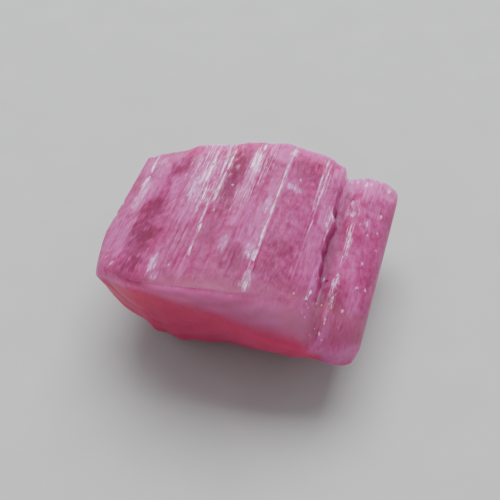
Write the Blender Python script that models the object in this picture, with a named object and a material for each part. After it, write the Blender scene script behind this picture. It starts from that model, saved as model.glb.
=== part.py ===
"""A short broken length of rubellite, the pink-red tourmaline, lying on its side.

Two growths of one crystal stand side by side: a broad main growth with an arched, striped face on
top, and a lower side growth at +X. Both run along Y. The near end is a smooth curved break that leans
in over the floor, and the far end is a rough break with a bevelled upper edge.

Sizes are in millimetres until a mesh is made, where MM turns them into metres. +Z is up. The origin is
on the floor, under the middle of the crystal's box.
"""

import math
import random

import bmesh
import bpy
from mathutils import Vector, noise

MM = 0.001

# Driving dimensions
WIDTH = 12.1
LENGTH = 11.0
HEIGHT = 6.6
LEFT, RIGHT = -WIDTH / 2, WIDTH / 2
NEAR, FAR = -LENGTH / 2, LENGTH / 2

# How far the uncut growths run past the two breaks, and how far the cutters run past those
SPARE = 1.5
BEYOND = 2 * SPARE
BESIDE = 0.5

# Top of the main growth, as (across, up), without its stripes
ARCH = [(LEFT, 4.4), (-5.0, 5.2), (-3.5, 5.95), (-2.0, 6.4), (-0.6, HEIGHT), (1.3, 6.35), (2.9, 5.75), (4.0, 5.2)]

# Edges of the flat stripes on the arch, as (across, raised above the arch)
STRIPES = [
    (LEFT, 0.0), (-5.6, 0.02), (-5.3, 0.05), (-5.17, -0.05), (-4.8, 0.0), (-4.55, 0.03), (-4.25, -0.04),
    (-3.6, -0.06), (-3.3, 0.02), (-3.05, -0.03), (-2.82, 0.05), (-2.7, -0.03), (-2.42, 0.03), (-2.27, -0.04),
    (-2.15, 0.05), (-2.0, -0.03), (-1.87, 0.05), (-1.75, -0.03), (-1.62, 0.05), (-1.52, -0.02), (-1.4, 0.05),
    (-1.25, -0.07), (-0.55, -0.06), (-0.45, 0.0), (0.03, 0.0), (0.1, -0.06), (0.18, -0.01), (0.28, -0.05),
    (0.38, 0.0), (0.48, -0.06), (0.75, -0.01), (1.05, -0.03), (1.13, 0.06), (1.29, 0.02), (1.36, -0.06),
    (1.95, -0.04), (2.66, -0.04), (2.73, 0.03), (2.8, -0.02), (2.88, 0.03), (2.96, -0.02), (3.45, 0.02),
    (4.0, 0.0),
]

# Lower side of the main growth: its buried right side, then its flank from the flat base to the left corner
BURIED = [(4.0, 1.3), (3.0, 0.0)]
LEFT_FLANK = [(-2.4, 0.0), (-3.1, 0.45), (-4.1, 1.35), (-5.0, 2.4), (-5.65, 3.3), (-5.95, 3.9), (LEFT, 4.4)]

# Side growth, as (across, up): its top from the valley under the step to the edge, then its flank
SIDE_TOP = [
    (2.4, 4.6), (3.4, 4.92), (4.05, 4.86), (4.3, 4.98), (4.45, 5.06), (4.6, 5.0), (4.72, 4.84),
    (5.1, 4.66), (5.5, 4.36), (5.78, 4.02),
]
SIDE_FLANK = [
    (5.78, 4.02), (5.98, 3.6), (RIGHT, 3.2), (5.95, 2.75), (5.55, 2.1), (4.9, 1.45), (4.1, 0.8), (3.3, 0.25),
    (2.8, 0.08), (2.4, 0.6),
]

# Ribs along the flanks
RIB_PITCH = 0.42
RIB_DEPTH = 0.045

# Broken edge of the step down to the side growth, as (along, across), and a height inside that growth
STEP_NEAR_END = 3.84
STEP = [
    (FAR + BEYOND, 3.42), (3.9, 3.42), (3.0, 3.52), (2.5, 3.48), (1.75, 3.55), (1.6, 3.42), (0.95, 3.78),
    (0.75, 3.64), (0.2, 3.72), (-0.55, 3.56), (-1.1, 3.64), (-1.3, 3.72), (-2.1, 3.7), (-2.25, 3.6),
    (-2.6, 3.84), (-3.4, 3.74), (-4.2, STEP_NEAR_END), (NEAR - BEYOND, STEP_NEAR_END),
]
STEP_FOOT = 4.2

# Near break, as (across, along): where the stripes end, its belly, and its lower rim with the rim's height
SHOULDER = [
    (LEFT, -1.6), (-5.82, -2.65), (-5.35, -3.95), (-4.6, -4.45), (-3.25, -5.15), (-1.4, -5.33), (0.1, -5.1),
    (1.65, -4.6), (3.05, -3.9), (3.8, -3.55), (5.5, -3.45), (RIGHT, -3.1),
]
BELLY = [
    (LEFT, -1.7), (-5.66, -3.4), (-5.4, -4.05), (-4.5, -4.6), (-3.25, -5.25), (-1.4, -5.45), (0.1, -5.47),
    (1.65, -5.47), (3.05, -5.3), (4.8, -4.85), (5.5, -4.5), (RIGHT, -3.7),
]
RIM = [
    (LEFT, -1.8), (-5.6, -3.2), (-5.15, -3.75), (-3.4, -3.8), (-1.4, -4.0), (0.4, -3.8), (2.4, -3.85),
    (3.9, -4.3), (5.2, -4.55), (5.8, -4.15), (RIGHT, -3.4),
]
RIM_HEIGHT = [
    (LEFT, 3.6), (-5.15, 3.0), (-4.3, 2.0), (-3.4, 1.35), (-3.1, 1.0), (-2.4, 1.15), (-1.9, 0.95),
    (-1.2, 1.2), (-0.5, 1.15), (0.4, 1.4), (1.45, 1.35), (2.4, 1.55), (3.2, 1.9), (3.9, 2.4),
    (4.5, 2.7), (5.2, 2.75), (RIGHT, 2.55),
]

# Share of the break's height above its belly, how round it is there, and how its lower part curves in
BELLY_DEPTH = [(-5.0, 0.1), (-2.0, 0.14), (0.0, 0.22), (1.65, 0.29), (3.0, 0.36), (RIGHT, 0.42)]
ROUNDING = [(-3.0, 1.1), (0.0, 0.95), (2.5, 0.75)]
CURVING_IN = 1.35
RUNOUT = 6.0

# Faint shell-like rings on the near break, round the point where it began
RING_CENTRE = (-3.2, 6.5)
RING_PITCH = 1.14
RING_DEPTH = 0.025

# Underside, which slopes from the near rim back down to the flat base
HEEL_SLOPE = 0.85
HEEL_END = -0.8

# Far break, as (across, along): its upper rim, and how far it leans in and how rough it is lower down
FAR_RIM = [
    (LEFT, 3.55), (-5.2, 3.66), (-3.6, 3.42), (-1.5, 3.46), (-0.95, 3.8), (0.0, 3.9), (0.3, 4.1),
    (0.75, 4.38), (1.3, 4.4), (2.7, 4.82), (3.1, 4.6), (3.6, 4.72), (4.7, 4.98), (5.6, 5.4), (RIGHT, FAR),
]
FAR_LEAN = 1.2
FAR_HACKLE = 0.5

# Where the bevel along the far upper edge starts on each growth, as (across, along)
MAIN_BEVEL = [(LEFT, 3.4), (-5.3, 2.5), (-4.0, 2.3), (-3.3, 3.1), (-1.2, 3.2), (0.2, 3.75), (2.6, 3.7), (4.0, 4.0)]
SIDE_BEVEL = [(2.4, 3.6), (4.0, 3.65), (4.5, 4.0), (RIGHT, 4.15)]
BEVEL_FROM = 1.8
BEVEL_SLOPE = 0.24

# Small damage, as (across, along, up, radius): nicks in the edges, and pits in the side growth
NICKS = [(-6.2, 0.3, 4.5, 0.26), (-6.18, -0.55, 4.45, 0.22), (3.52, 4.75, 5.55, 0.34)]
PITS = [
    (4.95, 3.2, 4.77, 0.09), (5.35, 2.6, 4.51, 0.08), (5.05, 1.7, 4.72, 0.1), (5.5, 0.9, 4.39, 0.08),
    (4.9, 0.4, 4.8, 0.08), (5.3, -0.6, 4.54, 0.09), (5.0, -1.5, 4.74, 0.08), (4.1, -2.0, 4.9, 0.09),
    (5.4, -2.3, 4.47, 0.08), (3.98, -0.4, 4.91, 0.08),
]


def between(low, high, share):
    return low + (high - low) * share


def through(points, place):
    """Read a smooth line through (place, value) points; past its ends the value stays."""
    if place <= points[0][0]:
        return points[0][1]
    if place >= points[-1][0]:
        return points[-1][1]
    last = len(points) - 2
    i = next(k for k in range(last + 1) if place <= points[k + 1][0])
    (x0, y0), (x1, y1) = points[i], points[i + 1]
    before = points[max(i - 1, 0)]
    after = points[min(i + 2, last + 1)]
    span = x1 - x0
    rise0 = (y1 - before[1]) / (x1 - before[0]) * span
    rise1 = (after[1] - y0) / (after[0] - x0) * span
    t = (place - x0) / span
    ends = y0 * (1 + 2 * t) * (1 - t) ** 2 + y1 * t * t * (3 - 2 * t)
    return ends + rise0 * t * (1 - t) ** 2 - rise1 * t * t * (1 - t)


def crystal_top(x):
    """Height of the two growths' upper side, without stripes."""
    return through(ARCH, x) if x < STEP_NEAR_END else through(SIDE_TOP, x)


def across_from(share):
    """A place across the crystal, from just past its left side to just past its right side."""
    return between(LEFT - BESIDE, RIGHT + BESIDE, share)


def rough(x, y, z, size, seed):
    """Soft unevenness from -1 to 1 whose lumps are about size across."""
    return noise.noise(Vector((x / size, y / size, z / size + seed)))


def near_break(across, down):
    """A point of the near break. down is 0 at the stripes' end and 1 at the lower rim."""
    x = across_from(across)
    top = crystal_top(x)
    z = between(top, through(RIM_HEIGHT, x), down)
    depth = through(BELLY_DEPTH, x)
    if down <= 0:
        y = through(SHOULDER, x) - RUNOUT * down
    elif down < depth:
        share = math.sin(down / depth * math.pi / 2) ** through(ROUNDING, x)
        y = between(through(SHOULDER, x), through(BELLY, x), share)
    else:
        share = ((down - depth) / (1 - depth)) ** CURVING_IN
        y = between(through(BELLY, x), through(RIM, x), share)
    ring = math.hypot(x - RING_CENTRE[0], z - RING_CENTRE[1]) / RING_PITCH
    fade = min(1, max(0, down - 0.1) * 3)
    ripple = RING_DEPTH * fade * (math.sin(2 * math.pi * ring) + rough(x, y, z, 1.6, 3))
    return x, y + ripple, z


def heel(across, along):
    """A point of the underside's slope from the near rim back to the base."""
    x = across_from(across)
    y = between(NEAR - BEYOND, HEEL_END, along)
    z = through(RIM_HEIGHT, x) - HEEL_SLOPE * (y - through(RIM, x))
    return x, y, z + 0.1 * rough(x, y, 0, 1.1, 8)


def far_break(across, down):
    """A point of the rough far break, from above the crystal to below the floor."""
    x = across_from(across)
    z = between(HEIGHT + SPARE, -SPARE / 2, down)
    low = max(0, 1 - z / crystal_top(x))
    hackle = 0.5 + 0.7 * rough(x, 0, z, 1.9, 20) + 0.35 * abs(rough(x * 1.6, 0, z, 0.9, 31))
    y = through(FAR_RIM, x) - FAR_LEAN * low * low - FAR_HACKLE * hackle * min(1, max(0, low * 5 - 0.3))
    return x, y, z


def bevel(start, profile):
    """The far upper bevel of one growth, as a function that gives its points."""
    def point(across, along):
        x = across_from(across)
        y = between(BEVEL_FROM, FAR + BEYOND, along)
        z = through(profile, x) - BEVEL_SLOPE * (y - through(start, x))
        return x, y, z + 0.05 * rough(x, y, 0, 0.7, 14)
    return point


def ribbed(corners, seed):
    """Lay shallow growth ribs along a broken line of the outline."""
    draw = random.Random(seed)
    points = [corners[0]]
    side = 1
    for (x0, z0), (x1, z1) in zip(corners, corners[1:]):
        length = math.hypot(x1 - x0, z1 - z0)
        ribs = round(length / RIB_PITCH)
        for k in range(1, ribs):
            share = (k + draw.uniform(-0.25, 0.25)) / ribs
            out = side * RIB_DEPTH * draw.uniform(0.3, 1) / length
            points.append((between(x0, x1, share) - out * (z1 - z0), between(z0, z1, share) + out * (x1 - x0)))
            side = -side
        points.append((x1, z1))
    return points


def main_outline():
    striped = [(x, through(ARCH, x) + raised) for x, raised in STRIPES]
    return striped + BURIED + ribbed(LEFT_FLANK, 5)[:-1]


def side_outline():
    return SIDE_TOP + ribbed(SIDE_FLANK, 9)[1:]


def mesh_object(name, shape, collection):
    """Turn a bmesh into an object with its faces pointing out."""
    bmesh.ops.recalc_face_normals(shape, faces=shape.faces)
    mesh = bpy.data.meshes.new(name)
    shape.to_mesh(mesh)
    shape.free()
    obj = bpy.data.objects.new(name, mesh)
    collection.objects.link(obj)
    return obj


def as_cutter(obj):
    obj.hide_render = True
    obj.display_type = "WIRE"
    return obj


def growth(name, outline, collection):
    """A closed outline in X and Z, drawn out along Y past both breaks."""
    curve = bpy.data.curves.new(name, "CURVE")
    curve.dimensions = "2D"
    curve.fill_mode = "BOTH"
    curve.extrude = (LENGTH / 2 + SPARE) * MM
    line = curve.splines.new("POLY")
    line.points.add(len(outline) - 1)
    for point, (x, z) in zip(line.points, outline):
        point.co = (x * MM, z * MM, 0, 1)
    line.use_cyclic_u = True
    drawn = bpy.data.objects.new(name + "_outline", curve)
    drawn.rotation_euler = (math.pi / 2, 0, 0)
    collection.objects.link(drawn)
    bpy.context.view_layer.update()
    graph = bpy.context.evaluated_depsgraph_get()
    mesh = bpy.data.meshes.new_from_object(drawn.evaluated_get(graph))
    mesh.transform(drawn.matrix_world)
    bpy.data.objects.remove(drawn)
    solid = bmesh.new()
    solid.from_mesh(mesh)
    bpy.data.meshes.remove(mesh)
    bmesh.ops.remove_doubles(solid, verts=solid.verts, dist=0.0001 * MM)
    return mesh_object(name, solid, collection)


def thicken(sheet, axis, level):
    """Close a sheet into a block by drawing it out to a flat level along one axis."""
    grown = bmesh.ops.extrude_face_region(sheet, geom=sheet.faces[:])
    for vert in (item for item in grown["geom"] if isinstance(item, bmesh.types.BMVert)):
        vert.co[axis] = level * MM


def sheet_cutter(name, point, rows, axis, level, collection, low=0, high=1):
    """A block that cuts along the sheet through point(across, row), with row from low to high."""
    sheet = bmesh.new()
    bmesh.ops.create_grid(sheet, x_segments=46, y_segments=rows, size=0.5)
    for vert in sheet.verts:
        vert.co = Vector(point(vert.co.x + 0.5, between(low, high, vert.co.y + 0.5))) * MM
    thicken(sheet, axis, level)
    return as_cutter(mesh_object(name, sheet, collection))


def step_cutter(collection):
    """The space beside the step: a ragged outline seen from above, drawn up from inside the side growth."""
    outline = [(x, y) for y, x in STEP] + [(RIGHT, NEAR - BEYOND), (RIGHT, FAR + BEYOND)]
    sheet = bmesh.new()
    sheet.faces.new([sheet.verts.new((x * MM, y * MM, STEP_FOOT * MM)) for x, y in outline])
    thicken(sheet, 2, HEIGHT + SPARE)
    return as_cutter(mesh_object("step_cutter", sheet, collection))


def chip_cutter(name, chips, seed, collection):
    """Small uneven lumps that bite chips out of the crystal, as one cutter."""
    lumps = bmesh.new()
    for x, y, z, radius in chips:
        lump = bmesh.ops.create_icosphere(lumps, subdivisions=1, radius=radius * MM)["verts"]
        for vert in lump:
            vert.co *= 1 + 0.3 * noise.noise(vert.co / MM * 3 + Vector((x, y, seed)))
            vert.co += Vector((x, y, z)) * MM
    return as_cutter(mesh_object(name, lumps, collection))


def boolean(body, tool, operation="DIFFERENCE"):
    modifier = body.modifiers.new(tool.name, "BOOLEAN")
    modifier.operation = operation
    modifier.object = tool
    modifier.solver = "EXACT"


def rubellite():
    """Milky raspberry-pink stone with a glassy skin."""
    pink = (0.47, 0.1, 0.24, 1)
    material = bpy.data.materials.new("rubellite")
    material.diffuse_color = pink
    material.use_nodes = True
    shader = material.node_tree.nodes["Principled BSDF"]
    shader.inputs["Base Color"].default_value = pink
    shader.inputs["Roughness"].default_value = 0.3
    shader.inputs["IOR"].default_value = 1.63
    return material


def build():
    for obj in list(bpy.data.objects):
        bpy.data.objects.remove(obj)
    parts = bpy.data.collections.new("rubellite_crystal")
    cutters = bpy.data.collections.new("cutters")
    for collection in (parts, cutters):
        bpy.context.scene.collection.children.link(collection)

    crystal = growth("crystal", main_outline(), parts)
    side = as_cutter(growth("side_growth", side_outline(), cutters))
    sky = HEIGHT + BEYOND

    boolean(crystal, step_cutter(cutters))
    boolean(crystal, sheet_cutter("main_bevel", bevel(MAIN_BEVEL, ARCH), 6, 2, sky, cutters))
    boolean(side, sheet_cutter("side_bevel", bevel(SIDE_BEVEL, SIDE_TOP), 6, 2, sky, cutters))
    boolean(crystal, side, "UNION")
    boolean(crystal, sheet_cutter("near_break", near_break, 30, 1, NEAR - BEYOND, cutters, -0.4, 1.5))
    boolean(crystal, sheet_cutter("heel", heel, 10, 2, -BEYOND, cutters))
    boolean(crystal, sheet_cutter("far_break", far_break, 26, 1, FAR + BEYOND, cutters))
    boolean(crystal, chip_cutter("nicks", NICKS, 2, cutters))
    boolean(crystal, chip_cutter("pits", PITS, 6, cutters))
    crystal.data.materials.append(rubellite())


build()
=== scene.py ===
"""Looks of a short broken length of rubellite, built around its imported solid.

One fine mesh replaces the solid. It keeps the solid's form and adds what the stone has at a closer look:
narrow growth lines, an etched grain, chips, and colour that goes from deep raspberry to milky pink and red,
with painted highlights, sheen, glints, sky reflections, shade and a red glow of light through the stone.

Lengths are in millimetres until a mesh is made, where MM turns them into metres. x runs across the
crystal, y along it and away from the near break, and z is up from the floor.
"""

import math
import random

import bmesh
import bpy
import numpy as np
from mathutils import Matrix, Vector, noise


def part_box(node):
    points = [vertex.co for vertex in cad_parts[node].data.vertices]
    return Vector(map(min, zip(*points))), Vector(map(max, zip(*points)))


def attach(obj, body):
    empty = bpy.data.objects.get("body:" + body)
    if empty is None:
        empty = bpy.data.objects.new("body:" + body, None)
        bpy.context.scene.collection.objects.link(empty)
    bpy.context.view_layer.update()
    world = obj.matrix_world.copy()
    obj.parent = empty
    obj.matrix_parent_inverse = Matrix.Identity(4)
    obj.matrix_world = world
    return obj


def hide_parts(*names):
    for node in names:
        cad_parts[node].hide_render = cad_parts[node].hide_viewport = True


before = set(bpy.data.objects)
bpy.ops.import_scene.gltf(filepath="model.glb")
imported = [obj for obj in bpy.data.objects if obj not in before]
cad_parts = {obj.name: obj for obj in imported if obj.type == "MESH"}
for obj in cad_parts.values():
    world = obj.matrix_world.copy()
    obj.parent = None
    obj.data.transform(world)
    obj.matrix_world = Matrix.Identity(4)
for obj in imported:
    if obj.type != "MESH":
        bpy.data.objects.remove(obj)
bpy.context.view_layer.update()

MM = 0.001
low_corner, high_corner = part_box("crystal")
LEFT, RIGHT = low_corner[0] / MM, high_corner[0] / MM
HEIGHT = high_corner[2] / MM

# Top of the main growth, as (across, up), without its stripes
ARCH = [
    (LEFT, 4.4), (-5.0, 5.2), (-3.5, 5.95), (-2.0, 6.4), (-0.6, HEIGHT), (1.3, 6.35), (2.9, 5.75),
    (4.0, 5.2),
]

# Edges of the flat stripes on the arch, as (across, raised above the arch)
STRIPES = [
    (LEFT, 0.0), (-5.6, 0.02), (-5.3, 0.05), (-5.17, -0.05), (-4.8, 0.0), (-4.55, 0.03), (-4.25, -0.04),
    (-3.6, -0.06), (-3.3, 0.02), (-3.05, -0.03), (-2.82, 0.05), (-2.7, -0.03), (-2.42, 0.03), (-2.27, -0.04),
    (-2.15, 0.05), (-2.0, -0.03), (-1.87, 0.05), (-1.75, -0.03), (-1.62, 0.05), (-1.52, -0.02), (-1.4, 0.05),
    (-1.25, -0.07), (-0.55, -0.06), (-0.45, 0.0), (0.03, 0.0), (0.1, -0.06), (0.18, -0.01), (0.28, -0.05),
    (0.38, 0.0), (0.48, -0.06), (0.75, -0.01), (1.05, -0.03), (1.13, 0.06), (1.29, 0.02), (1.36, -0.06),
    (1.95, -0.04), (2.66, -0.04), (2.73, 0.03), (2.8, -0.02), (2.88, 0.03), (2.96, -0.02), (3.45, 0.02),
    (4.0, 0.0),
]

# Top of the side growth, from the valley under the step to its right edge
SIDE_TOP = [
    (2.4, 4.6), (3.4, 4.92), (4.05, 4.86), (4.3, 4.98), (4.45, 5.06), (4.6, 5.0), (4.72, 4.84),
    (5.1, 4.66), (5.5, 4.38), (5.8, 4.08), (6.0, 3.66), (RIGHT, 3.2),
]

# The same with its ridge worn away, where that ridge is, and where the tops merge if the step is softened
SIDE_WORN = [(x, z) for x, z in SIDE_TOP if not 4.2 < x < 4.7]
SIDE_RIDGE = 4.6
STEP_BLEND = (3.35, 4.35)

# Underside, from the left edge down to the flat base and up again to the right edge
LEFT_FLANK = [(LEFT, 4.4), (-5.95, 3.9), (-5.65, 3.3), (-5.0, 2.4), (-4.1, 1.35), (-3.1, 0.45), (-2.4, 0.0)]
RIGHT_FLANK = [
    (3.0, 0.0), (3.15, 0.2), (3.3, 0.25), (4.1, 0.8), (4.9, 1.45), (5.55, 2.1), (5.95, 2.75), (RIGHT, 3.2),
]

# Shallow growth ribs along the flanks
RIB_PITCH = 0.42
RIB_DEPTH = 0.045

# Broken edge of the step down to the side growth, as (along, across), and how far its wall leans out
STEP_NEAR_END = 3.84
STEP = [
    (-4.2, 3.62), (-3.85, 3.62), (-3.5, 3.72), (-3.1, 3.79), (-2.3, 3.83), (-2.0, 3.72), (-1.4, 3.69),
    (-0.9, 3.59), (0.3, 3.61), (0.7, 3.67), (1.1, 3.72), (1.45, 3.5), (1.8, 3.53), (2.5, 3.46), (3.9, 3.44),
]
STEP_LEAN = 0.14

# Near break, as (across, along): where the stripes end, its belly, and its lower rim with the rim's height
SHOULDER = [
    (LEFT, -1.6), (-5.8, -2.6), (-5.25, -3.85), (-4.6, -4.4), (-3.25, -5.15), (-1.4, -5.33), (0.1, -5.1),
    (1.65, -4.6), (3.05, -3.9), (3.8, -3.55), (5.5, -3.45), (RIGHT, -3.1),
]
BELLY = [
    (LEFT, -1.8), (-5.75, -3.35), (-5.5, -3.98), (-4.6, -4.5), (-3.25, -5.25), (-1.4, -5.45), (0.1, -5.47),
    (1.65, -5.47), (3.05, -5.3), (4.8, -4.85), (5.5, -4.5), (RIGHT, -3.7),
]
RIM = [
    (LEFT, -1.8), (-5.6, -3.2), (-5.15, -3.75), (-3.4, -3.8), (-1.4, -4.0), (0.4, -3.8), (2.4, -3.85),
    (3.9, -4.3), (5.2, -4.55), (5.8, -4.15), (RIGHT, -3.4),
]
RIM_HEIGHT = [
    (LEFT, 3.6), (-5.15, 3.0), (-4.3, 2.0), (-3.4, 1.35), (-3.1, 1.0), (-2.4, 1.15), (-1.9, 0.95),
    (-1.2, 1.2), (-0.5, 1.15), (0.4, 1.4), (1.45, 1.35), (2.4, 1.55), (3.2, 1.9), (3.9, 2.4),
    (4.5, 2.7), (5.2, 2.75), (RIGHT, 2.55),
]

# The near break's curve: how far down its belly lies, as (across, share of the way down), how sharply it
# rolls over to there, as (across, power), how it curves in to the rim, and its run above the stripes' end
BELLY_DEPTH = [
    (-5.6, 0.45), (-5.1, 0.2), (-4.4, 0.12), (-2.0, 0.14), (0.0, 0.22), (1.65, 0.29), (3.0, 0.36),
    (RIGHT, 0.42),
]
ROUNDING = [(-3.0, 1.0), (-1.5, 0.8), (0.0, 0.68), (2.5, 0.6)]
CURVING_IN = 1.35
RUNOUT = 6.0

# Faint rings on the near break, around (across, up), and the slope of the underside's heel below the rim
RING_CENTRE = (-3.2, 6.5)
RING_PITCH = 1.14
RING_DEPTH = 0.025
HEEL_SLOPE = 0.85

# Upper edge of the far break, as (across, along)
FAR_RIM = [
    (LEFT, 3.55), (-5.2, 3.66), (-3.6, 3.42), (-1.5, 3.46), (-0.95, 3.8), (0.0, 3.9), (0.3, 4.1),
    (0.75, 4.38), (1.3, 4.4), (2.7, 4.82), (3.1, 4.6), (3.6, 4.72), (4.7, 4.98), (5.5, 5.36), (5.85, 5.43),
    (RIGHT, 5.2),
]

# How far the far break leans back at the bottom, and how deep its hackle goes
FAR_LEAN = 1.2
FAR_HACKLE = 0.5

# Where the bevel along the far edge starts on the main and the side growth, as (across, along), and its slope
MAIN_BEVEL = [
    (LEFT, 3.4), (-5.3, 2.5), (-4.0, 2.3), (-3.3, 3.1), (-1.2, 3.2), (0.2, 3.75), (2.6, 3.7), (4.0, 4.0),
]
SIDE_BEVEL = [(2.4, 3.6), (4.0, 3.65), (4.5, 4.0), (RIGHT, 4.15)]
BEVEL_SLOPE = 0.24

# Small damage, as (across, along, up, radius)
CHIPS = [
    (-6.2, 0.3, 4.5, 0.26), (-6.18, -0.55, 4.45, 0.22), (3.52, 4.75, 5.55, 0.3),
    (4.95, 3.2, 4.77, 0.09), (5.35, 2.6, 4.51, 0.08), (5.05, 1.7, 4.72, 0.1), (5.5, 0.9, 4.39, 0.08),
    (4.9, 0.4, 4.8, 0.08), (5.3, -0.6, 4.54, 0.09), (5.0, -1.5, 4.74, 0.08), (4.1, -2.0, 4.9, 0.09),
    (5.4, -2.3, 4.47, 0.08), (3.98, -0.4, 4.91, 0.08),
]

# Painted highlights on the top, as (far end along, across, near end along, across, half width, strength)
HIGHLIGHT_LINES = [
    (3.45, -5.43, 1.9, -5.2, 0.06, 1.3), (1.7, -5.14, 1.0, -5.3, 0.1, 0.8),
    (2.85, -2.16, 2.0, -2.13, 0.07, 1.1), (1.85, -2.12, 0.85, -2.08, 0.09, 1.15),
    (0.3, -1.86, -0.7, -1.84, 0.04, 0.9), (3.1, -1.58, 1.4, -1.55, 0.04, 0.8),
    (3.1, -1.37, -0.45, -1.33, 0.05, 0.9), (-0.5, -1.49, -1.85, -1.45, 0.07, 0.8),
    (-1.85, -1.4, -2.4, -1.38, 0.08, 0.85), (-2.4, -1.38, -3.7, -1.3, 0.06, 0.7),
    (-3.9, -2.75, -4.6, -2.5, 0.07, 0.5), (1.0, -1.98, 0.1, -1.9, 0.06, 0.75),
    (2.1, -2.83, 1.3, -2.75, 0.09, 0.6), (0.2, -3.1, -1.4, -3.0, 0.05, 0.45),
    (1.0, -3.1, 0.2, -3.06, 0.05, 0.4), (3.0, -0.4, 2.0, -0.32, 0.09, 1.0),
    (3.0, -0.17, 1.6, -0.1, 0.07, 0.9), (0.6, -0.5, -1.05, -0.47, 0.035, 0.6),
    (3.65, -0.15, 3.3, -0.12, 0.09, 1.0), (3.6, 0.2, 0.9, 0.18, 0.035, 0.6),
    (3.9, 0.42, 1.5, 0.4, 0.03, 0.35), (4.4, 1.22, 3.9, 1.2, 0.05, 0.6), (3.98, 1.2, 3.5, 1.17, 0.13, 1.3),
    (3.5, 1.15, -1.1, 1.19, 0.05, 0.75), (-1.05, 1.2, -3.1, 1.23, 0.06, 0.9),
    (-3.5, 1.2, -4.35, 1.32, 0.08, 0.4), (-4.3, 1.32, -4.75, 1.3, 0.06, 0.7),
    (4.95, 2.78, 4.6, 2.73, 0.06, 0.8), (4.6, 2.69, 2.9, 2.66, 0.045, 0.8),
    (2.9, 2.68, 0.9, 2.7, 0.04, 0.5), (0.9, 2.7, -0.5, 2.72, 0.035, 0.3),
    (2.1, 2.83, -0.5, 2.88, 0.04, 0.5), (3.0, 2.8, 2.0, 2.86, 0.09, 0.5),
    (0.95, 4.5, -0.4, 4.56, 0.07, 0.62), (-0.5, 4.5, -1.2, 4.55, 0.09, 0.5),
    (-1.5, 4.52, -2.4, 4.5, 0.09, 0.45), (-2.8, 4.6, -4.0, 4.56, 0.06, 0.5),
    (4.5, 4.62, 4.0, 4.52, 0.05, 0.9), (5.3, 5.63, 4.7, 5.55, 0.07, 0.8),
    (4.75, 3.75, 4.35, 3.78, 0.08, 0.7), (4.75, 4.1, 4.4, 4.12, 0.06, 0.7),
    (3.0, 5.6, 2.7, 5.45, 0.05, 0.7), (1.35, 3.5, 0.95, 3.66, 0.05, 0.8), (0.7, 3.45, 0.4, 3.47, 0.07, 0.7),
    (-3.1, 3.7, -3.7, 3.56, 0.07, 1.0), (0.4, 3.57, -0.3, 3.55, 0.05, 0.6),
    (-1.5, 3.62, -2.6, 3.76, 0.04, 0.4),
]

# Patches on the top, as (across, along, half width, half length, strength)
MILKY = [
    (-5.0, 0.2, 0.3, 0.85, 0.9), (-4.85, 1.0, 0.3, 0.45, 0.6), (-5.35, -2.3, 0.4, 1.2, 0.4),
    (-4.5, 2.6, 0.9, 0.6, 0.35), (-4.5, 1.8, 0.5, 0.5, 0.8), (-3.8, 2.2, 0.3, 0.3, 0.5),
    (-4.75, -2.6, 0.45, 1.1, 0.5), (-4.8, -0.4, 0.25, 0.5, 0.7), (-2.3, -1.3, 0.45, 0.7, 0.6),
    (-2.3, 1.6, 0.75, 2.1, 0.65), (-4.5, 0.3, 0.5, 0.5, 0.45), (-3.3, 0.1, 0.3, 0.4, 0.4),
    (-0.2, 2.2, 0.3, 1.1, 0.8), (-0.15, 0.3, 0.35, 0.9, 0.5), (0.3, -0.6, 0.4, 0.8, 0.5),
    (0.95, -0.9, 0.5, 1.3, 0.6), (0.95, 1.2, 0.35, 0.6, 0.5), (0.0, -1.3, 0.4, 0.3, 0.6),
    (0.7, 3.4, 0.75, 0.5, 0.9), (1.0, 3.9, 0.5, 0.6, 0.6), (2.0, 4.3, 1.0, 0.5, 0.5),
    (3.4, 3.9, 0.35, 0.6, 0.8), (2.95, 2.6, 0.3, 1.0, 0.5), (3.3, 0.9, 0.3, 0.9, 0.6),
    (3.2, -1.6, 0.4, 1.2, 0.4), (3.6, 3.0, 0.2, 1.0, 0.5), (4.0, 4.2, 0.7, 0.7, 0.85),
    (4.75, 4.1, 0.35, 1.0, 1.0), (4.7, 2.5, 0.2, 0.3, 0.5), (5.1, 4.6, 0.8, 0.8, 0.8),
    (4.3, 2.8, 0.25, 0.2, 0.6), (5.35, -2.4, 0.3, 0.7, 0.45), (3.6, -2.2, 0.12, 0.9, 0.6),
    (-5.2, 1.2, 0.3, 0.3, 0.6), (4.3, 2.1, 0.25, 0.15, 0.6), (5.1, 1.95, 0.15, 0.3, 0.5),
    (-5.55, 2.6, 0.4, 0.7, 0.5), (-4.7, 0.6, 0.3, 0.3, 0.6), (-3.1, 0.5, 0.15, 0.6, 0.4),
    (3.2, -0.6, 0.35, 1.0, 0.45), (-1.3, -4.3, 0.2, 0.6, 0.4), (0.3, -1.8, 0.25, 0.5, 0.5),
    (-3.4, 0.6, 0.3, 0.4, 0.4), (5.2, 2.9, 0.3, 0.5, 0.5),
]
# Painted silk-like sheen along the growth lines
SHEEN_PATCHES = [
    (-2.1, 2.3, 0.85, 1.6, 1.0), (-2.0, 0.1, 0.8, 1.2, 0.6), (-2.0, -2.2, 0.7, 1.2, 0.15),
    (-0.25, 2.4, 0.3, 0.9, 1.0), (-0.1, 0.6, 0.3, 0.9, 0.4), (0.25, 2.6, 0.25, 1.2, 0.5),
    (-5.05, 0.3, 0.25, 1.0, 1.0), (-4.9, 2.5, 0.4, 0.5, 0.5), (2.8, 2.6, 0.2, 1.6, 0.6),
    (1.1, 0.5, 0.2, 2.6, 0.4), (1.25, -4.0, 0.15, 0.9, 0.5), (-2.6, -4.3, 0.2, 0.5, 0.6),
    (3.5, 1.2, 0.25, 0.5, 0.7), (4.5, 0.5, 0.15, 1.0, 0.6), (4.5, -2.6, 0.2, 0.8, 0.4),
    (4.3, 2.4, 0.3, 0.7, 0.4),
]
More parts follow.
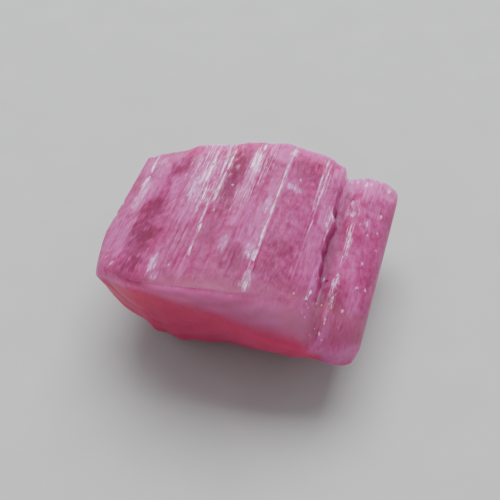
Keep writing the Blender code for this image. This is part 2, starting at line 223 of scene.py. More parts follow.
# Painted reflections of the sky, lavender-white
SKY_REFLECTIONS = [
    (-2.4, 0.4, 0.3, 0.8, 0.6), (-2.65, -4.1, 0.2, 0.45, 0.55), (-2.3, -4.85, 0.2, 0.3, 0.35),
    (-0.13, -2.6, 0.2, 0.5, 0.4), (0.92, 0.05, 0.15, 0.45, 0.45), (0.95, -2.7, 0.22, 0.45, 0.6),
    (1.3, -4.1, 0.2, 0.5, 0.4), (1.72, 1.7, 0.28, 0.2, 0.9),
]
DEEP = [
    (-3.6, 1.9, 0.55, 0.6, 0.6), (-4.0, -0.8, 0.6, 0.9, 0.8), (-3.6, -2.6, 0.6, 0.6, 0.9),
    (-3.6, -4.3, 0.5, 0.5, 0.85), (-3.7, -3.4, 0.6, 0.7, 0.6), (-4.2, -2.3, 0.5, 1.0, 0.8),
    (-0.9, 1.0, 0.35, 1.9, 0.75), (-0.9, -2.3, 0.4, 1.0, 0.5), (2.1, -1.8, 0.75, 0.45, 0.5),
    (1.9, -3.2, 0.6, 0.6, 0.5), (2.1, 3.0, 0.7, 0.5, 0.4), (2.3, 3.7, 0.25, 0.15, 0.4),
    (3.95, 0.0, 0.3, 2.4, 0.3), (4.1, -3.6, 0.3, 0.7, 0.9), (5.75, -0.95, 0.2, 0.3, 0.5),
    (3.8, 3.2, 0.15, 0.7, 0.5), (5.2, 3.0, 0.3, 0.3, 0.3), (4.35, -2.9, 0.35, 0.9, 0.7),
    (4.25, -2.2, 0.25, 0.5, 0.4), (0.5, -1.9, 0.35, 0.25, 0.4), (0.4, -3.5, 0.5, 0.9, 0.55),
    (2.6, -3.4, 0.6, 0.5, 0.4), (0.8, -4.3, 0.7, 0.4, 0.5),
]

# Painted glints, pale and orange: on the top as (across, along, radius), on the near break as (across, up,
# radius)
GLINT_SPOTS = [
    (-1.16, -0.9, 0.07), (-0.82, 0.7, 0.06), (-4.6, -4.1, 0.09), (-2.47, -4.53, 0.06), (-1.9, -4.3, 0.06),
    (1.83, 2.3, 0.06), (3.55, 1.25, 0.07), (3.98, -1.94, 0.08), (4.39, -2.18, 0.09), (4.48, -1.57, 0.1),
    (4.6, -2.03, 0.07), (4.55, -2.87, 0.07), (4.17, 2.79, 0.12), (4.36, 2.04, 0.12), (5.05, 1.9, 0.1),
    (4.78, 1.68, 0.06), (5.54, 2.85, 0.09), (5.57, 1.84, 0.07), (5.2, 1.3, 0.06), (5.72, 0.9, 0.06),
    (5.3, -0.32, 0.07), (5.35, -1.68, 0.09), (5.7, -1.45, 0.07), (5.06, -3.2, 0.07), (3.85, 4.34, 0.09),
    (4.14, 4.4, 0.1), (4.35, 4.75, 0.08), (4.6, 4.12, 0.09), (4.75, 4.45, 0.12), (5.15, 5.0, 0.08),
    (5.6, 4.9, 0.12),
]
NEAR_GLINT_SPOTS = [
    (3.74, 5.03, 0.05), (3.66, 5.25, 0.07), (3.6, 5.2, 0.06), (4.2, 4.69, 0.05), (4.42, 4.68, 0.08),
    (4.3, 4.55, 0.05), (4.58, 4.5, 0.06), (4.52, 4.89, 0.1), (4.5, 4.96, 0.07), (5.04, 4.6, 0.05),
]
ORANGE_GLINT_SPOTS = [(3.1, -3.65, 0.06), (4.0, -3.3, 0.05), (4.2, -3.35, 0.05), (-5.1, -3.6, 0.06), (-5.2, -3.2, 0.05)]
NEAR_ORANGE_GLINT_SPOTS = [(4.08, 4.55, 0.07), (3.76, 5.14, 0.05), (3.94, 4.99, 0.05)]

# End of the lip's painted light on the near break, as (across, share of the way down)
LIP_END = [
    (-5.6, 0.45), (-4.4, 0.2), (-3.5, 0.1), (-2.5, 0.09), (-1.5, 0.13), (-0.6, 0.145), (1.0, 0.165),
    (1.9, 0.185), (2.7, 0.2), (3.4, 0.22), (3.9, 0.26), (4.2, 0.36), (4.5, 0.6), (4.8, 1.0),
]

# Painted shade at the lip's shoulder and the side growth's near end, and the lip's painted light and shade
SHOULDER_SHADE = 0.3
SIDE_END_SHADE = 0.8
SHOULDER_SHADING = 0.35
LIP_SHADING = 0.9

# How strong the painted glints on the near break are, and how far apart neighbouring growth lines lie in
# their noise
BREAK_GLINT = 0.8
LINES_APART = 3.7

# Mesh density: columns across the top, rows along the top, the underside and down the breaks, and how many
# rounds settle where the top meets the breaks
COLUMN_PITCH = 0.03
WALL_COLUMNS = 10
TOP_ROWS_PER_UNDER_ROW = 5
UNDER_ROWS = 25
TOP_ROWS = (UNDER_ROWS - 1) * TOP_ROWS_PER_UNDER_ROW + 1
NEAR_ROWS = 46
NEAR_GRADING = 1.6
FAR_ROWS = 38
SETTLING_ROUNDS = 5

# Points this near to each other are joined, and edges sharper than this angle are shown sharp
WELD = 0.00002
SHARP_ANGLE = math.radians(40)


def between(low, high, share):
    return low + (high - low) * share


def smooth(low, high, value):
    """0 below low and 1 above high, with a soft ramp between them; it falls where low is above high."""
    t = np.clip((value - low) / (high - low), 0, 1)
    return t * t * (3 - 2 * t)


def through(points, place):
    """Read a smooth line through (place, value) points; past its ends the value stays."""
    x, y = np.array(points).T
    place = np.clip(place, x[0], x[-1])
    i = np.clip(np.searchsorted(x, place, side="right") - 1, 0, len(x) - 2)
    before, after = np.maximum(i - 1, 0), np.minimum(i + 2, len(x) - 1)
    span = x[i + 1] - x[i]
    rise0 = (y[i + 1] - y[before]) / (x[i + 1] - x[before]) * span
    rise1 = (y[after] - y[i]) / (x[after] - x[i]) * span
    t = (place - x[i]) / span
    ends = y[i] * (1 + 2 * t) * (1 - t) ** 2 + y[i + 1] * t * t * (3 - 2 * t)
    return ends + rise0 * t * (1 - t) ** 2 - rise1 * t * t * (1 - t)


def straight(points, place):
    """Read a line of straight pieces through (place, value) points."""
    x, y = np.array(points).T
    return np.interp(place, x, y)


def rough(x, y, z, size, seed):
    """Soft unevenness from -1 to 1 whose lumps are about size across; size may differ by direction."""
    places = np.stack(np.broadcast_arrays(x, y, z), -1) / np.asarray(size, float)
    flat = places.reshape(-1, 3) + (0, 0, seed)
    return np.array([noise.noise(place) for place in flat.tolist()]).reshape(places.shape[:-1])


def crystal_top(x):
    """Height of the two growths' upper side, without stripes and with the step softened."""
    return between(through(ARCH, x), through(SIDE_TOP, x), smooth(*STEP_BLEND, x))


def down_near_break(x, z):
    """How far down the near break a place is: 0 where the stripes end, 1 at the lower rim."""
    top = crystal_top(x)
    return (top - z) / (top - through(RIM_HEIGHT, x))


def near_surface(x, z):
    """How far along the near break and the underside's slope lie, at a place across and up."""
    down = down_near_break(x, z)
    depth = through(BELLY_DEPTH, x)
    foot = through(RIM, x)
    rolling = np.sin(np.clip(down / depth, 0, 1) * math.pi / 2) ** through(ROUNDING, x)
    curving = np.clip((down - depth) / (1 - depth), 0, None) ** CURVING_IN
    y = between(between(through(SHOULDER, x), through(BELLY, x), rolling), foot, curving)
    y = y - RUNOUT * np.minimum(down, 0)
    ring = np.hypot(x - RING_CENTRE[0], z - RING_CENTRE[1]) / RING_PITCH
    ripple = RING_DEPTH * np.clip(3 * (down - 0.1), 0, 1)
    y = y + ripple * (np.sin(2 * math.pi * ring) + rough(x, y, z, 1.6, 3))
    heel = foot + (through(RIM_HEIGHT, x) - z + 0.1 * rough(x, y, 0, 1.1, 8)) / HEEL_SLOPE
    return np.maximum(y, heel)


def facets(x, z, size, seed):
    """Depth from 0 to about 1 of a hackly break: flats that lean different ways and meet in sharp edges."""
    wide, high = np.broadcast_arrays(x / size, z / size)
    depth = []
    for place in zip((wide + 0.3 * high).ravel().tolist(), high.ravel().tolist()):
        away = noise.voronoi((place[0], seed, place[1]), distance_metric="MANHATTAN")[0]
        depth.append(away[1] - away[0])
    return np.array(depth).reshape(wide.shape)


def far_surface(x, z):
    """How far along the rough far break lies, at a place across and up."""
    low = np.maximum(0, 1 - z / crystal_top(x))
    hackle = 0.5 + 0.7 * rough(x, 0, z, 1.9, 20) + 0.35 * np.abs(rough(x * 1.6, 0, z, 0.9, 31))
    fine = 0.4 * facets(x, z, 1.5, 44) - 0.16 * facets(x, z, 0.7, 46) + 0.02 * rough(x, 0, z, 0.3, 45)
    inside = np.clip(low * 5 - 0.3, 0, 1)
    return through(FAR_RIM, x) - FAR_LEAN * low ** 2 - (FAR_HACKLE * hackle + fine) * inside


def stripe_top(x, y):
    """The main growth's top: flat stripes that come and go, and fade towards the lip of the near break."""
    edges, raised = np.array(STRIPES).T
    flat = np.interp(x, edges, through(ARCH, edges) + raised)
    shown = 0.4 + 0.6 * smooth(-0.3, 0.2, rough(x, y, 0, (0.5, 1.8, 1), 31))
    return between(through(ARCH, x), flat, shown * smooth(0.1, 1.6, y - through(SHOULDER, x)))


def bevelled(z, x, y, start, profile):
    """Lower a top to the bevel along its far edge, where the stripes only show faintly."""
    cut = through(profile, x) - BEVEL_SLOPE * (y - through(start, x)) + 0.05 * rough(x, y, 0, 0.7, 14)
    cut = cut + 0.4 * (z - through(profile, x)) + 0.012 * rough(x, y, 0, (0.16, 0.3, 1), 15)
    return between(z, np.minimum(z, cut), smooth(0, 0.3, np.minimum(x - LEFT, RIGHT - x)))


def split_places():
    """Nominal places across the top, and how far down the step's wall each one is."""
    main_edges = [x for x, _ in STRIPES if x < STEP_NEAR_END] + [STEP_NEAR_END]
    side_edges = [STEP_NEAR_END] + [x for x, _ in SIDE_TOP if x > STEP_NEAR_END]
    places, walls = [], []
    for edges, wall in ((main_edges, 0), (side_edges, 1)):
        for start, end in zip(edges, edges[1:]):
            steps = max(1, round((end - start) / COLUMN_PITCH))
            places += [between(start, end, k / steps) for k in range(steps)]
            walls += [wall] * steps
        if wall == 0:
            places += [STEP_NEAR_END] * WALL_COLUMNS
            walls += [k / WALL_COLUMNS for k in range(WALL_COLUMNS)]
    return np.array(places + [RIGHT]), np.array(walls + [1.0])


def step_edge(y):
    """Place across of the step's broken edge."""
    return straight(STEP, y) + 0.05 * rough(0, y, 0, 0.3, 33)


def across_top(place, wall, y):
    """Real place across: the columns near the step shift to follow its ragged edge."""
    calm_left, calm_right = 3.0, 4.3
    edge = step_edge(y) + STEP_LEAN * wall
    left = calm_left + (place - calm_left) * (edge - calm_left) / (STEP_NEAR_END - calm_left)
    right = calm_right - (calm_right - place) * (calm_right - edge) / (calm_right - STEP_NEAR_END)
    shifted = np.where(wall > 0, right, left)
    return np.where((place > calm_left) & (place < calm_right), shifted, place)


def growth_lines(x, y, pitch, depth, run, seed):
    """Narrow growth lines along y: ridges between random edges, each coming and going along its length."""
    draw = random.Random(seed)
    edges = [LEFT]
    while edges[-1] < RIGHT + pitch:
        edges.append(edges[-1] + pitch * draw.uniform(0.5, 1.5))
    edges = np.array(edges)
    heights = np.array([depth * draw.uniform(-1, 1) for _ in edges])

    def height(edge):
        """Height of each edge of these numbers, which comes and goes along y."""
        return heights[edge] * smooth(-0.25, 0.35, rough(edge * LINES_APART, y, 0, (1, run, 1), seed))

    i = np.clip(np.searchsorted(edges, x, side="right") - 1, 0, len(edges) - 2)
    share = np.clip((x - edges[i]) / (edges[i + 1] - edges[i]), 0, 1)
    return between(height(i), height(i + 1), share)


def top_surface(x, wall, y):
    """Height of the top: stripes, growth lines, the step's wall, and the etched face of the side growth."""
    silky = smooth(-3.4, -3.1, x) * (1 - smooth(-1.35, -1.2, x)) * smooth(-4.5, 0.5, y)
    lively = 0.3 + 0.9 * silky + 0.5 * smooth(-0.6, -0.4, x) * (1 - smooth(0.9, 1.4, x))
    lines = growth_lines(x, y, 0.16, 0.014, 1.7, 1) + growth_lines(x, y, 0.08, 0.008, 0.9, 2)
    worn = 0.012 * rough(x, y, 0, (0.28, 0.4, 1), 50) + 0.005 * rough(x, y, 0, (0.07, 0.2, 1), 51)
    main = bevelled(stripe_top(x, y) + lively * lines + worn, x, y, MAIN_BEVEL, ARCH)
    etched = 0.02 * rough(x, y, 0, (0.2, 0.3, 1), 52) + 0.01 * rough(x, y, 0, (0.09, 0.18, 1), 53)
    ridge = 0.25 + 0.75 * smooth(-0.3, 0.2, rough(0, y, 0, 0.9, 54))
    side = between(straight(SIDE_WORN, x), straight(SIDE_TOP, x), ridge)
    side = side + 0.5 * lines + etched * (1 - smooth(5.6, 5.95, x))
    side = bevelled(side, x, y, SIDE_BEVEL, SIDE_WORN)
    rolling = between(0.9, 0.4, smooth(0.8, 0.3, np.abs(x - STEP_NEAR_END)))
    shown = smooth(0, 1, (y - through(SHOULDER, x)) / rolling)
    return between(crystal_top(x), between(main, side, wall), shown)


def top_grid(place, wall):
    """Points of the top, one column to a place, from the near break to the far one."""
    near = through(SHOULDER, place)
    far = through(FAR_RIM, place)
    for _ in range(SETTLING_ROUNDS):
        x = across_top(place, wall, near)
        near = near_surface(x, crystal_top(x))
        x = across_top(place, wall, far)
        far = far_surface(x, top_surface(x, wall, far))
    y = between(near, far, np.linspace(0, 1, TOP_ROWS)[:, None])
    x = across_top(place, wall, y)
    return np.stack([x, y, top_surface(x, wall, y)], -1)


def ribbed(corners, seed):
    """Lay shallow growth ribs along a broken line of the outline."""
    draw = random.Random(seed)
    points = [corners[0]]
    side = 1
    for (x0, z0), (x1, z1) in zip(corners, corners[1:]):
        length = math.hypot(x1 - x0, z1 - z0)
        ribs = round(length / RIB_PITCH)
        for k in range(1, ribs):
            share = (k + draw.uniform(-0.25, 0.25)) / ribs
            out = side * RIB_DEPTH * draw.uniform(0.3, 1) / length
            x, z = between(x0, x1, share), between(z0, z1, share)
            points.append((x - out * (z1 - z0), z + out * (x1 - x0)))
            side = -side
        points.append((x1, z1))
    return points


def under_grid(count):
    """Points of the underside between its two edges, one column to a place along its ribbed outline."""
    outline = np.array(ribbed(LEFT_FLANK, 5) + ribbed(RIGHT_FLANK, 9))
    walked = np.concatenate([[0], np.cumsum(np.hypot(*np.diff(outline, axis=0).T))])
    places = np.linspace(0, walked[-1], count)[1:-1]
    x, z = (np.interp(places, walked, values) for values in outline.T)
    y = between(near_surface(x, z), far_surface(x, z), np.linspace(0, 1, UNDER_ROWS)[:, None])
    return np.stack([x + 0 * y, y, z + 0 * y], -1)


def break_grid(surface, top_edge, under_edge, rows, grading=1.0):
    """Points of a break, each column running from the end of a top column to its match underneath.

    With grading above 1 the rows lie closer together at the top.
    """
    under_edge = np.concatenate([top_edge[:1], under_edge, top_edge[-1:]])
    share = np.linspace(0, 1, rows)[:, None] ** grading
    x = between(top_edge[:, 0], under_edge[:, 0], share)
    z = between(top_edge[:, 2], under_edge[:, 2], share)
    points = np.stack([x, surface(x, z), z], -1)
    points[0], points[-1] = top_edge, under_edge
    points[:, 0], points[:, -1] = top_edge[0], top_edge[-1]
    return points


def bite(points, chips):
    """Push the points inside each chip's ball out to its skin, which leaves a small hollow."""
    for x, y, z, radius in chips:
        away = points - (x, y, z)
        reach = np.linalg.norm(away, axis=-1, keepdims=True)
        uneven = radius * (1 + 0.25 * rough(*points.T, 0.1, 7)[:, None])
        points = np.where(reach < uneven, (x, y, z) + away * uneven / np.maximum(reach, 0.001), points)
    return points


def grid_faces(numbers):
    """Four-sided faces of a grid, from the numbers of its points."""
    corners = [numbers[:-1, :-1], numbers[:-1, 1:], numbers[1:, 1:], numbers[1:, :-1]]
    return np.stack(corners, -1).reshape(-1, 4).tolist()


def edge_faces(top_numbers, under_numbers):
    """Faces between an edge of the top and the coarser underside beside it."""
    step = TOP_ROWS_PER_UNDER_ROW
    faces = []
    for k in range(UNDER_ROWS - 1):
        fine = top_numbers[k * step:(k + 1) * step + 1].tolist()
        faces.append(fine + [under_numbers[k + 1], under_numbers[k]])
    return faces


# Masks that the mesh carries for the material
MASKS = ("milky", "silky", "bluish", "deep", "dusty", "bright", "spark", "amber", "red", "striped", "etched")


def masked(points, **strengths):
    """All the masks at the points: the strengths given, and nothing for the rest."""
    return {name: np.broadcast_to(strengths.get(name, 0.0), points.shape[:-1]) for name in MASKS}


def patches(x, y, spots, seed):
    """Strength of soft-edged patches at places on the top, broken up along the growth lines."""
    strength = 0
    broken = 0.5 * rough(x, y, 0, (0.11, 0.8, 1), seed) + 0.5 * rough(x, y, 0, (0.25, 0.35, 1), seed + 1)
    for spot_x, spot_y, half_x, half_y, most in spots:
        away = np.hypot((x - spot_x) / half_x, (y - spot_y) / half_y)
        strength = np.maximum(strength, most * (1 - smooth(0.5, 1.4, away + broken)))
    return strength


def highlight_lines(x, y):
    """Strength of the painted highlight lines at places on the top."""
    strength = 0
    for far_y, far_x, near_y, near_x, half, most in HIGHLIGHT_LINES:
        share = np.clip((y - near_y) / (far_y - near_y), 0, 1)
        across = (x - between(near_x, far_x, share)) / half
        ends = smooth(near_y - 0.12, near_y + 0.1, y) * (1 - smooth(far_y - 0.1, far_y + 0.12, y))
        strength = np.maximum(strength, most * ends * np.exp(-across ** 2))
    beads = 0.9 + 0.8 * rough(x, y, 0, (0.2, 0.35, 1), 61)
    return strength * np.clip(beads, 0, 1.1)


def glint_spots(x, y, spots):
    """Strength of tiny painted glints at places on the top, a little longer along the crystal."""
    strength = 0
    for spot_x, spot_y, radius in spots:
        away = np.hypot(x - spot_x, 0.5 * (y - spot_y)) / radius
        strength = np.maximum(strength, 1 - smooth(0.1, 1.3, away))
    return strength


def break_glint_spots(points, spots):
    """Strength of tiny round painted glints at places on the near break."""
    strength = 0
    for x, z, radius in spots:
        away = np.linalg.norm(points - (x, near_surface(x, z), z), axis=-1) / radius
        strength = np.maximum(strength, 1 - smooth(0.3, 1.4, away))
    return BREAK_GLINT * strength


def on_side_growth(x):
    """0 on the main growth and 1 on the side growth, with a soft change between them."""
    return smooth(3.6, 4.3, x)


def past_left_end(x):
    """0 at the left end of the near lip, 1 from its middle on."""
    return smooth(-3.4, -2.0, x)


def fading_outwards(x):
    """1, and a little less towards the side growth's outer edge."""
    return 1 - 0.3 * smooth(4.6, 5.2, x)


def keeping_inside(x):
    """1, and almost nothing on the side growth's outer part."""
    return 1 - 0.9 * smooth(4.4, 5.2, x)


def shoulder_shade(x):
    """Painted shade where the top rolls over into the near lip, less towards the side growth."""
    return SHOULDER_SHADE * smooth(-3.0, -2.0, x) * (1 - 0.8 * smooth(1.8, 2.8, x))


def crease(x, away):
    """Painted shadow line along the near lip: its strength by place across and distance from the stripes'
    end.
    """
    along = smooth(-4.9, -4.0, x) * (1 - 0.3 * smooth(-2.2, -1.6, x)) * (1 - smooth(0.4, 1.2, x))
    width = 0.12 + 0.16 * (1 - smooth(-2.4, -1.6, x))
    return 0.75 * along * np.exp(-((away - 0.05) / width) ** 2)


def lip_light(x, y, z, down, share):
    """Strength of the lip's painted light, broken up, weaker to the right, and of the ridge's painted
    highlight.
    """
    lip = 0.75 * smooth(0.0, 0.15, share) * (1 - smooth(0.8, 1.5, share))
    lip = lip * (1 - 0.5 * smooth(-0.5, 1.5, x)) * (1 - 0.5 * smooth(2.6, 3.4, x)) * smooth(-2.9, -1.9, x)
    lip = lip * (1 + 0.9 * rough(x, y, z, (0.8, 1, 0.25), 75)) * (1 - 0.8 * smooth(3.6, 4.2, x))
    ridge = np.exp(-((x - SIDE_RIDGE) / 0.25) ** 2) * smooth(-0.3, 0.2, rough(x, y, 0, (0.3, 0.4, 1), 71))
    return lip + 0.3 * ridge * (1 - smooth(0.2, 0.5, down))


def painted_top(points):
    """Masks for the material on the top."""
    x, y, _ = np.moveaxis(points, -1, 0)
    away = y - through(SHOULDER, x)
    side = on_side_growth(x)

    past_step = x - step_edge(y)
    wall = smooth(-0.05, 0.02, past_step) * (1 - smooth(0.12, 0.3, past_step))
    wall_end = wall * (1 - smooth(-2.8, -2.2, y))
    # Painted shade on the step's wall and in the valley below it
    dark_wall = 0.45 * wall * smooth(-2.4, -1.4, y)
    valley = smooth(0, 0.08, past_step) * (1 - smooth(0.3, 0.75, past_step)) * smooth(2.5, -1.0, y)
    dark_valley = 0.6 * valley * (1 - 0.7 * smooth(-2.0, -2.8, y))

    # Painted shade: darker towards the near end and along the lip's shoulder, and at the side growth's near
    # end
    main_shade = 0.15 * smooth(0, -2.5, y) + shoulder_shade(x) * (1 - smooth(0.3, 1.4, away))
    side_shade = SIDE_END_SHADE * smooth(-1.0, -3.3, y) * fading_outwards(x)
    shade = between(main_shade, side_shade, side) * (1 - 0.7 * wall_end)
    return masked(
        points,
        milky=np.maximum(patches(x, y, MILKY, 62), 0.4 * wall_end),
        silky=patches(x, y, SHEEN_PATCHES, 68),
        bluish=patches(x, y, SKY_REFLECTIONS, 64),
        deep=np.max([patches(x, y, DEEP, 66), crease(x, away), shade, dark_wall, dark_valley], 0),
        # greyer pink near the shoulder: painted light and shade carried on from the lip
        dusty=SHOULDER_SHADING * (1 - smooth(0, 1.0, away)) * between(past_left_end(x), 1.0, side),
        bright=highlight_lines(x, y),
        spark=glint_spots(x, y, GLINT_SPOTS),
        amber=glint_spots(x, y, ORANGE_GLINT_SPOTS),
        striped=0.5 + 0.5 * smooth(0.0, 0.4, away),
        etched=smooth(3.85, 4.1, x),
    )


def painted_near(points):
    """Masks for the near break's material: a pale lip of painted light, then redder lower down, partly a
    painted glow.
    """
    x, y, z = np.moveaxis(points, -1, 0)
    down = down_near_break(x, z)
    share = down / through(LIP_END, x)
    side = on_side_growth(x)
    start = 1 - smooth(0, 0.4, share)

    pale_line = 0.6 * np.exp(-((share - 0.8) / 0.3) ** 2) * (1 - smooth(-2.2, -1.2, x))
    pale_side = 0.45 * side * smooth(0.15, 0.4, down) * (1 - smooth(0.7, 1.0, down))
    # Painted glow of light through the thin lower rim
    rim_glow = 0.1 * smooth(0.75, 1, down) * (1 - smooth(4.0, 4.6, x))

    # Painted shade at the top of the near break and the side growth's near end, and the painted shadow line
    main_shade = (0.15 + shoulder_shade(x)) * (1 - smooth(0, 0.1, share))
    side_shade = SIDE_END_SHADE * fading_outwards(x) * (1 - smooth(0.1, 0.35, down))
    dark_line = crease(x, y - through(SHOULDER, x)) * (1 - smooth(0, 0.05, down))
    # greyer pink on the lip: painted light where the back light leaves the lip dim
    lip_shading = past_left_end(x) * between(LIP_SHADING, SHOULDER_SHADING, start) * (1 - smooth(0.9, 1.8, share))
    return masked(
        points,
        # milky tone, with the lip's painted light, the ridge's painted highlight and the rim's painted glow
        milky=np.max([pale_line, lip_light(x, y, z, down, share), pale_side, rim_glow], 0),
        deep=np.maximum(dark_line, between(main_shade, side_shade, side)),
        dusty=between(lip_shading, SHOULDER_SHADING, side),
        spark=break_glint_spots(points, NEAR_GLINT_SPOTS),
        amber=break_glint_spots(points, NEAR_ORANGE_GLINT_SPOTS),
        # redder lower down: the stone's deep red with a painted glow of light coming through it
        red=smooth(0.5, 1.8, share) * keeping_inside(x),
        striped=np.maximum(0.5 * start, side * (1 - smooth(0.3, 0.8, down))),
        etched=side * (1 - 0.6 * smooth(0.3, 0.8, down)),
    )


def painted_far(points):
    """Masks for the material on the far break: deep in its hollows and milky in broad patches."""
    x, _, z = np.moveaxis(points, -1, 0)
    hollow = smooth(0.0, 0.6, rough(x, 0, z, (1.2, 1, 0.8), 72) + 0.3 * rough(x, 0, z, 0.4, 73))
    cloudy = smooth(0.1, 0.6, rough(x, 0, z, (1.6, 1, 0.9), 74))
    return masked(points, deep=0.5 * hollow, milky=0.5 * cloudy)


def painted_under(points):
    """Masks for the material underneath: the near break's red, partly a painted glow, runs on a little way.
    """
    x, y, z = np.moveaxis(points, -1, 0)
    reach = between(2.2, 0.7, smooth(2.6, 4.2, z))
    return masked(points, striped=0.7, red=smooth(1, 0, (y - y[0]) / reach) * keeping_inside(x))


def crystal_grids():
    """Points of the top, the near break, the far break and the underside, which meet along their edges."""
    place, wall = split_places()
    top = top_grid(place, wall)
    under = under_grid(len(place))
    near = break_grid(near_surface, top[0], under[0], NEAR_ROWS, NEAR_GRADING)
    far = break_grid(far_surface, top[-1], under[-1], FAR_ROWS)
    return top, near, far, under


def skin_faces(grids):
    """Faces of the four grids and of the seams beside the underside, from the numbers of all their points."""
    numbers = []
    count = 0
    for grid in grids:
        rows, columns, _ = grid.shape
        numbers.append(count + np.arange(rows * columns).reshape(rows, columns))
        count += rows * columns
    faces = [face for grid in numbers for face in grid_faces(grid)]
    top_numbers, under_numbers = numbers[0], numbers[-1]
    for side in (0, -1):
        faces += edge_faces(top_numbers[:, side], under_numbers[:, side].tolist())
    return faces


def weld(mesh):
    """Join the grids along their shared edges into one closed skin."""
    skin = bmesh.new()
    skin.from_mesh(mesh)
    bmesh.ops.remove_doubles(skin, verts=skin.verts, dist=WELD * MM)
    bmesh.ops.recalc_face_normals(skin, faces=skin.faces)
    skin.to_mesh(mesh)
    skin.free()


def crystal_piece():
    """The crystal as one closed mesh with its masks."""
    grids = crystal_grids()
    painters = (painted_top, painted_near, painted_far, painted_under)
    masks = [painter(grid) for painter, grid in zip(painters, grids)]
    points = bite(np.concatenate([grid.reshape(-1, 3) for grid in grids]), CHIPS)
    mesh = bpy.data.meshes.new("rubellite")
    mesh.from_pydata(points * MM, [], skin_faces(grids))
    for name in MASKS:
        stored = mesh.attributes.new(name, "FLOAT", "POINT")
        stored.data.foreach_set("value", np.concatenate([part[name].ravel() for part in masks]))
    weld(mesh)
    mesh.shade_smooth()
    mesh.set_sharp_from_angle(angle=SHARP_ANGLE)
    crystal = bpy.data.objects.new("rubellite", mesh)
    bpy.context.scene.collection.objects.link(crystal)
    return crystal


def add(tree, kind, inputs, **settings):
    """Add a node, set what it is told, and link or fill its inputs."""
    made = tree.nodes.new(kind)
    for name, value in settings.items():
        setattr(made, name, value)
    for name, value in inputs.items():
        if isinstance(value, bpy.types.NodeSocket):
            tree.links.new(value, made.inputs[name])
        else:
            made.inputs[name].default_value = value
    return made


def mixed(tree, factor, first, second):
    """Mix two colours, each a socket or four numbers."""
    return add(tree, "ShaderNodeMix", {0: factor, 6: first, 7: second}, data_type="RGBA").outputs[2]


def layered(tree, colour, layers):
    """Lay (strength, colour) layers over a colour, one after another."""
    for strength, over in layers:
        colour = mixed(tree, strength, colour, over)
    return colour


def ramp(tree, value, low, high, start=0.0, end=1.0):
    """Stretch a value from low..high to start..end."""
    inputs = {0: value, 1: low, 2: high, 3: start, 4: end}
    return add(tree, "ShaderNodeMapRange", inputs).outputs[0]


def multiplied(tree, first, second):
    return add(tree, "ShaderNodeMath", {0: first, 1: second}, operation="MULTIPLY").outputs[0]


def broken(tree, strength, crumbs):
    """Break a mask up: whole where it is strong, only grains of it where it is weak."""
    grainy = add(tree, "ShaderNodeMath", {0: strength, 1: crumbs}, operation="ADD").outputs[0]
    return ramp(tree, grainy, 0.3, 0.75)


def mask(tree, name):
    return add(tree, "ShaderNodeAttribute", {}, attribute_name=name).outputs["Fac"]


def stretched(tree, size):
    """Places on the object in units of size millimetres, given for x, y and z."""
    places = add(tree, "ShaderNodeTexCoord", {}).outputs["Object"]
    return add(tree, "ShaderNodeMapping", {0: places, 3: [1 / (part * MM) for part in size]}).outputs[0]


def grain(tree, size, detail=2.0):
    """Noise whose lumps are size millimetres across, given for x, y and z."""
    inputs = {"Vector": stretched(tree, size), "Scale": 1.0, "Detail": detail}
    return add(tree, "ShaderNodeTexNoise", inputs).outputs[0]


def glints(tree, size, share):
    """Tiny painted glints, size millimetres apart, of which only a share show."""
    cells = add(tree, "ShaderNodeTexVoronoi", {"Vector": stretched(tree, size), "Scale": 1.0})
    chosen = ramp(tree, cells.outputs["Color"], 1 - share, 1.02 - share)
    return multiplied(tree, ramp(tree, cells.outputs["Distance"], 0.22, 0.1), chosen)


# Colours of the stone, and of the painted highlights, sheen, glints, sky reflections, shade and glow on it
BODY = (0.35, 0.033, 0.156, 1)
# Milky pink of the stone, also laid on as painted light on the lip, ridge and rim
PALE = (0.6, 0.17, 0.45, 1)
# Lavender-white of the painted sky reflections
REFLECTED_SKY = (0.6, 0.3, 0.66, 1)
# Deep raspberry of the stone, also laid on as painted shade
DARK = (0.15, 0.009, 0.043, 1)
# Greyer pink of the painted light and shade at the lip and the side growth's near end
SHADING_PINK = (0.33, 0.115, 0.185, 1)
# Red of the near break: the stone's colour with a painted glow of light through it
GLOW_RED = (0.47, 0.034, 0.11, 1)
# Near-white of the painted highlights, sheen and glints
HIGHLIGHT_WHITE = (1.0, 0.68, 0.94, 1)
# Orange of the painted glints
SUNLIT = (1.0, 0.34, 0.2, 1)

# Sizes of the lumps in the stone's noises, as (across, along, up)
CLOUD = (0.9, 1.4, 0.9)
PATCH = (0.7, 1.1, 0.7)
MOTTLE = (0.2, 0.32, 0.2)
SILK = (0.07, 1.0, 0.4)
FIBRE = (0.035, 0.35, 0.2)
THREAD = (0.05, 2.4, 0.5)
FLECK = (0.06, 0.3, 0.1)
STREAK = (0.045, 0.8, 0.3)
CRUMB = (0.06, 0.14, 0.07)
# Cells of the tiny painted glints, and the share of them that show
DOT_CELL = (0.12, 0.2, 0.2)
DOT_SHARE = 0.07

# Relief of the stone's finest grain, and how light goes into it
FIBRE_RELIEF = 0.01
MOTTLE_RELIEF = 0.05
REFRACTION = 1.63
LIGHT_INSIDE = 0.9
LIGHT_SPREAD = (1.0, 0.3, 0.45)
SPREAD_SCALE = 3.5


